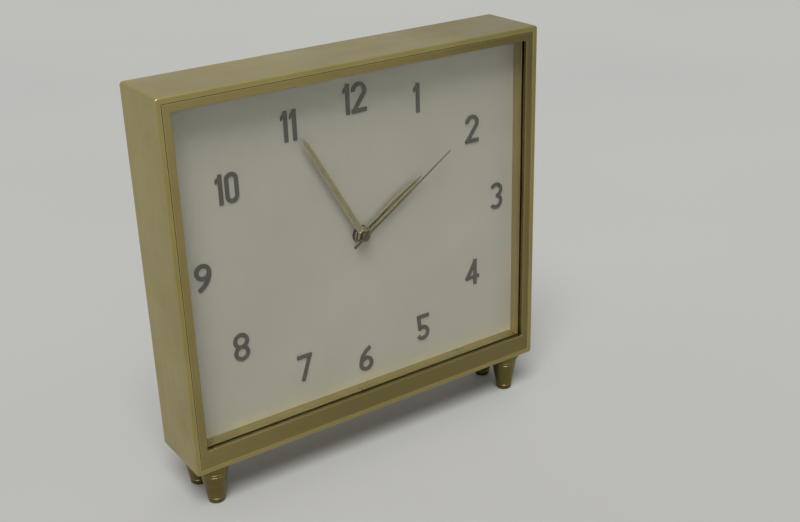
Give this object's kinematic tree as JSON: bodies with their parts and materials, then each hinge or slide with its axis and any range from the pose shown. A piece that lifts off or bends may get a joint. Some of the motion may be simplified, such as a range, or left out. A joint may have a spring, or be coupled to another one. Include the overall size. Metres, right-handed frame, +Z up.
{
  "type": "desk clock",
  "caption": "Rectangular brass desk clock with a glazed dial, applied numerals, three hands and a battery quartz movement, standing on small tapered feet.",
  "frame": {"origin": "on the standing surface, under the middle of the clock", "axes": "+X to the right as seen from the front, +Y from the dial towards the back cover, +Z up"},
  "size_m": [0.15, 0.027, 0.15],
  "materials": {
    "brass": "satin lacquered brass",
    "brass_satin": "brushed brass sheet",
    "glass": "clear",
    "dial_silver": "matte silvered",
    "numeral_black": "satin black",
    "gilt": "dark gilt",
    "steel": "plain",
    "black_plastic": "moulded",
    "white_plastic": "moulded",
    "knob_plastic": "moulded, ribbed",
    "magnet": "sintered",
    "iron": "stamped sheet",
    "copper_wire": "enamelled wire",
    "circuit_board": "solder resist",
    "chip_resin": "potting resin",
    "contact_metal": "plated spring strip",
    "battery_jacket": "plain printed jacket"
  },
  "bodies": {
    "case": {"case_band": "brass", "front_bezel": "brass", "glass": "glass", "dial_surround": "brass", "dial_plate": "dial_silver", "numeral_1": "numeral_black", "numeral_2": "numeral_black", "numeral_3": "numeral_black", "numeral_4": "numeral_black", "numeral_5": "numeral_black", "numeral_6": "numeral_black", "numeral_7": "numeral_black", "numeral_8": "numeral_black", "numeral_9": "numeral_black", "numeral_10": "numeral_black", "numeral_11": "numeral_black", "numeral_12": "numeral_black", "foot_front_left": "brass", "foot_front_right": "brass", "foot_rear_left": "brass", "foot_rear_right": "brass", "corner_posts": "brass", "back_cover": "brass_satin", "cover_screws": "steel", "dial_studs": "brass", "stud_nuts": "brass", "movement_front": "black_plastic", "movement_back": "black_plastic", "stator": "iron", "coil_core": "iron", "coil_bobbin": "white_plastic", "coil_winding": "copper_wire", "stator_screws": "steel", "circuit_board": "circuit_board", "circuit_chip": "chip_resin", "quartz_crystal": "steel", "contact_positive": "contact_metal", "contact_negative": "contact_metal"},
    "minute_hand": {"minute_hand": "gilt", "centre_arbor": "steel"},
    "hour_hand": {"hour_hand": "gilt", "hour_wheel": "white_plastic"},
    "minute_wheel": {"minute_wheel": "white_plastic"},
    "setting_knob": {"setting_knob": "knob_plastic"},
    "second_hand": {"second_hand": "gilt", "second_wheel": "white_plastic"},
    "third_wheel": {"third_wheel": "white_plastic"},
    "centre_wheel": {"centre_wheel": "white_plastic"},
    "intermediate_wheel": {"intermediate_wheel": "white_plastic"},
    "rotor": {"rotor_pinion": "white_plastic", "rotor_magnet": "magnet"},
    "battery": {"battery": "battery_jacket"}
  },
  "joints": [
    {"name": "minute_hand_turn", "type": "hinge", "parent": "case", "child": "minute_hand", "pos_m": [0, 0, 0.0849], "axis": [0, 1, 0], "continuous": true},
    {"name": "hour_hand_turn", "type": "hinge", "parent": "case", "child": "hour_hand", "pos_m": [0, 0, 0.0849], "axis": [0, 1, 0], "continuous": true},
    {"name": "minute_wheel_turn", "type": "hinge", "parent": "case", "child": "minute_wheel", "pos_m": [0.00811, 0, 0.08273], "axis": [0, 1, 0], "continuous": true},
    {"name": "setting_knob_turn", "type": "hinge", "parent": "case", "child": "setting_knob", "pos_m": [0.01639, 0, 0.08127], "axis": [0, 1, 0], "continuous": true},
    {"name": "second_hand_turn", "type": "hinge", "parent": "case", "child": "second_hand", "pos_m": [0, 0, 0.0849], "axis": [0, 1, 0], "continuous": true},
    {"name": "third_wheel_turn", "type": "hinge", "parent": "case", "child": "third_wheel", "pos_m": [-0.01064, 0, 0.08678], "axis": [0, 1, 0], "continuous": true},
    {"name": "centre_wheel_turn", "type": "hinge", "parent": "case", "child": "centre_wheel", "pos_m": [0, 0, 0.0849], "axis": [0, 1, 0], "continuous": true},
    {"name": "intermediate_wheel_turn", "type": "hinge", "parent": "case", "child": "intermediate_wheel", "pos_m": [0.00858, 0, 0.0921], "axis": [0, 1, 0], "continuous": true},
    {"name": "rotor_turn", "type": "hinge", "parent": "case", "child": "rotor", "pos_m": [0.01363, 0, 0.10085], "axis": [0, 1, 0], "continuous": true},
    {"name": "battery_slide", "type": "slide", "parent": "case", "child": "battery", "axis": [0, 1, 0], "range_m": [0, 0.025]}
  ],
  "couplings": [
    {"joint": "hour_hand_turn", "follows": "minute_hand_turn", "ratio": 0.083333},
    {"joint": "minute_wheel_turn", "follows": "minute_hand_turn", "ratio": -0.33333},
    {"joint": "setting_knob_turn", "follows": "minute_hand_turn", "ratio": 1},
    {"joint": "third_wheel_turn", "follows": "second_hand_turn", "ratio": -0.13333},
    {"joint": "centre_wheel_turn", "follows": "second_hand_turn", "ratio": 0.016667},
    {"joint": "intermediate_wheel_turn", "follows": "second_hand_turn", "ratio": -6},
    {"joint": "rotor_turn", "follows": "second_hand_turn", "ratio": 30}
  ]
}
